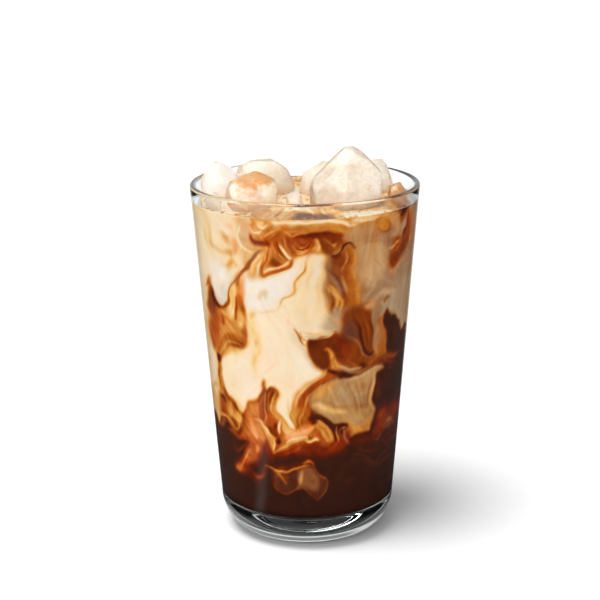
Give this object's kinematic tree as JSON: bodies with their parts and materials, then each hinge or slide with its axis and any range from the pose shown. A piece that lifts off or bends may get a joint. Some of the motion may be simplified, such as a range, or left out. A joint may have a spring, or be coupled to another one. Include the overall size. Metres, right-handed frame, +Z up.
{
  "type": "iced coffee",
  "caption": "Iced coffee marbled with milk in a tall conical clear glass tumbler with a thick base, with broken ice standing out of the top.",
  "frame": {"origin": "centre of the tumbler's foot, on the surface it stands on", "axes": "+Z up along the tumbler's axis, -Y towards the viewer of the picture, +X to the viewer's right"},
  "size_m": [0.088, 0.088, 0.1534],
  "materials": {
    "clear_glass": "clear and smooth, fire-polished rim, thick base",
    "coffee_and_milk": "opaque liquid, dark coffee at the bottom, marbled with milk above",
    "milky_ice": "cloudy broken ice, wet, with fine cracks and bubbles",
    "coffee_stained_ice": "cloudy wet ice stained amber by the coffee"
  },
  "bodies": {
    "root": {"tumbler": "clear_glass", "drink": "coffee_and_milk", "ice_left": "milky_ice", "ice_left_low": "coffee_stained_ice", "ice_back_left": "milky_ice", "ice_front_left": "coffee_stained_ice", "ice_front": "coffee_stained_ice", "ice_middle": "milky_ice", "ice_front_right": "milky_ice", "ice_back": "milky_ice", "ice_back_right": "milky_ice", "ice_right": "coffee_stained_ice"}
  },
  "joints": []
}
